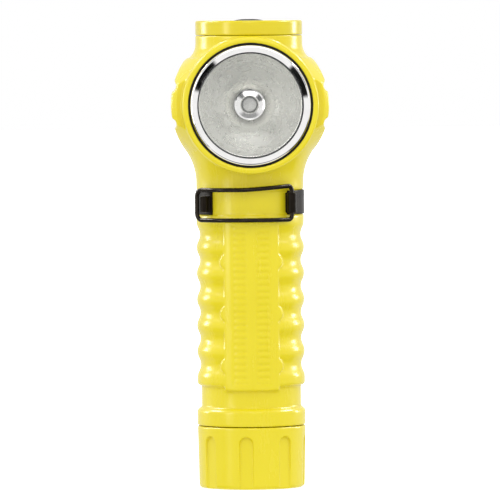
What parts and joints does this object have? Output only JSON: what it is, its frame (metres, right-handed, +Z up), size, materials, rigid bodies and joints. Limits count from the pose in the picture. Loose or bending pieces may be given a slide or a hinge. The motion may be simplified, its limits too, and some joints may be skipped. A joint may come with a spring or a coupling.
{
  "type": "right-angle flashlight",
  "caption": "Right-angle firefighter flashlight: ribbed yellow barrel, round side-facing lens, top push button, screw tail cap, black clip band with wire bail.",
  "frame": {"origin": "centre of the tail cap's flat underside", "axes": "+Z up the battery barrel to the switch, -Y the way the lens looks, +X to the right of someone facing the lens"},
  "size_m": [0.0464, 0.0463, 0.1384],
  "materials": {
    "yellow_polymer": "satin high-visibility yellow nylon",
    "yellow_polymer_cap": "satin high-visibility yellow nylon",
    "yellow_polymer_ring": "smooth high-visibility yellow nylon",
    "black_rubber": "matt moulded rubber",
    "plated_bezel": "bright plated",
    "lens_glass": "clear toughened glass",
    "reflector_metal": "vacuum-metallised bowl",
    "black_steel": "black oxide spring steel",
    "black_wire": "black coated spring wire",
    "spring_steel": "bright spring steel",
    "contact_brass": "plated brass contact",
    "lining_aluminium": "turned aluminium",
    "circuit_board": "green solder mask",
    "led_board_white": "white solder mask on an aluminium core",
    "led_ceramic": "white ceramic base",
    "led_silicone": "clear silicone dome",
    "white_plastic": "white moulded plastic",
    "black_plastic": "black moulded plastic",
    "ferrite": "sintered ferrite",
    "red_insulation": "red wire insulation",
    "black_insulation": "black wire insulation",
    "cell_steel": "nickel-plated steel",
    "cell_film": "shrunk film",
    "cell_core": "wound electrodes"
  },
  "bodies": {
    "lamp": {"body_shell": "yellow_polymer", "battery_tube": "lining_aluminium", "contact_carrier": "black_plastic", "front_contact": "contact_brass", "driver_board": "circuit_board", "driver_inductor": "ferrite", "driver_chips": "black_plastic", "led_lead_positive": "red_insulation", "led_lead_negative": "black_insulation", "switch_lead_right": "red_insulation", "switch_lead_left": "black_insulation", "heat_sink": "lining_aluminium", "led_board": "led_board_white", "board_screws": "spring_steel", "led_package": "led_ceramic", "led_dome": "led_silicone", "led_centring_ring": "plated_bezel", "reflector": "reflector_metal", "lens": "lens_glass", "lens_gasket": "black_rubber", "bezel_ring": "plated_bezel", "bezel_gasket": "black_rubber", "switch_cap": "yellow_polymer_ring", "switch_cap_oring": "black_rubber", "tactile_switch": "black_plastic", "switch_board": "circuit_board", "switch_carrier": "black_plastic", "gear_clip": "black_steel", "tail_cap_oring": "black_rubber"},
    "button": {"switch_boot": "black_rubber", "switch_plunger": "white_plastic", "switch_stem": "white_plastic"},
    "bail": {"clip_bail": "black_wire"},
    "cells": {"cell_rear_can": "cell_steel", "cell_rear_core": "cell_core", "cell_rear_sleeve": "cell_film", "cell_rear_terminal": "cell_steel", "cell_front_can": "cell_steel", "cell_front_core": "cell_core", "cell_front_sleeve": "cell_film", "cell_front_terminal": "cell_steel"},
    "tail_cap": {"tail_cap": "yellow_polymer_cap", "tail_contact_cup": "contact_brass", "tail_spring": "spring_steel"}
  },
  "joints": [
    {"name": "button_press", "type": "slide", "parent": "lamp", "child": "button", "axis": [0, 0, -1], "range_m": [0, 0.0012], "stiffness_N_per_m": 1500, "deforming": ["switch_boot"]},
    {"name": "bail_swing", "type": "hinge", "parent": "lamp", "child": "bail", "pos_m": [0.01208, -0.01271, 0.0844], "axis": [0, 0, 1], "range_deg": [0, 130]},
    {"name": "tail_slide", "type": "slide", "parent": "lamp", "child": "cells", "axis": [0, 0, -1], "range_m": [0, 0.0085]},
    {"name": "tail_turn", "type": "hinge", "parent": "cells", "child": "tail_cap", "pos_m": [0, 0, 0.01], "axis": [0, 0, -1], "range_deg": [0, 1531]}
  ],
  "couplings": [
    {"joint": "tail_turn", "follows": "tail_slide", "rad_per_m": 3141.6}
  ]
}
